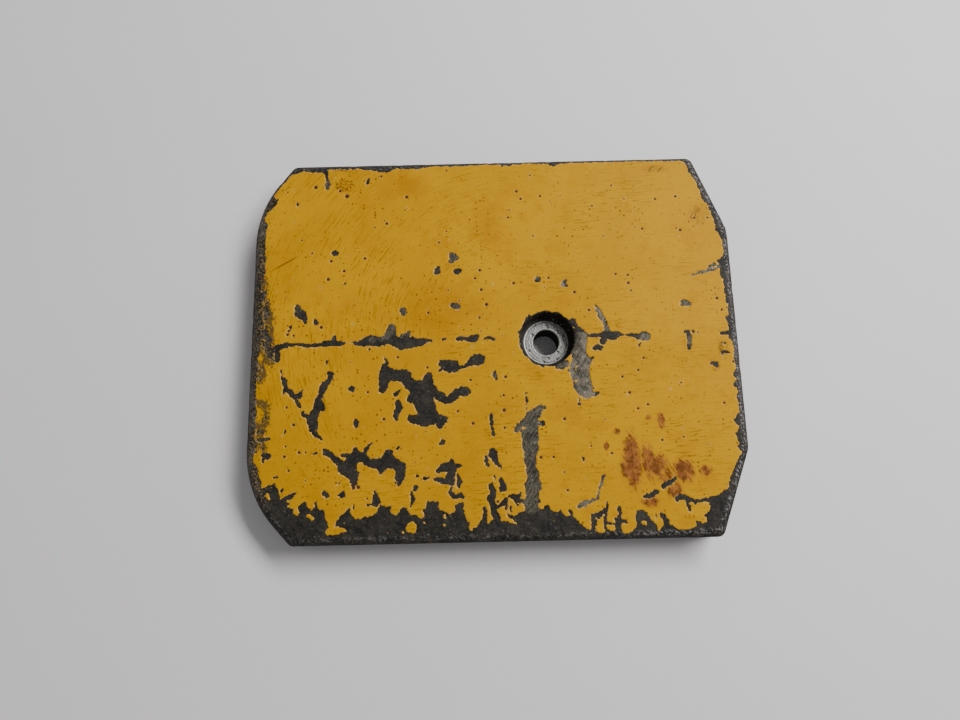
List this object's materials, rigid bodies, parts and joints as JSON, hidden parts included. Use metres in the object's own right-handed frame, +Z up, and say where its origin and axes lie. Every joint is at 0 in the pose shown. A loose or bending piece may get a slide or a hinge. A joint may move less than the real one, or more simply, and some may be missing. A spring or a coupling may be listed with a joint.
{
  "type": "road marker plate",
  "caption": "Low crowned rectangular marker plate with cut corners, a brushed yellow coat and an off-centre recessed hole lined by a steel anchor sleeve.",
  "frame": {"origin": "centre of the plate's base, on the surface that it lies on", "axes": "+X along the plate towards the end with the straighter corner cuts, which is the half that has the hole; +Z up out of the crowned top face"},
  "size_m": [0.2, 0.16, 0.0183],
  "materials": {
    "body_iron": "black, scale and old base coat, scratched to bare metal on the arrises",
    "sleeve_steel": "turned, dulled and nicked",
    "yellow_coat": "brushed traffic yellow, satin, chipped, with rust stains"
  },
  "bodies": {
    "root": {"marker_body": "body_iron", "anchor_sleeve": "sleeve_steel", "paint_coat": "yellow_coat"}
  },
  "joints": []
}
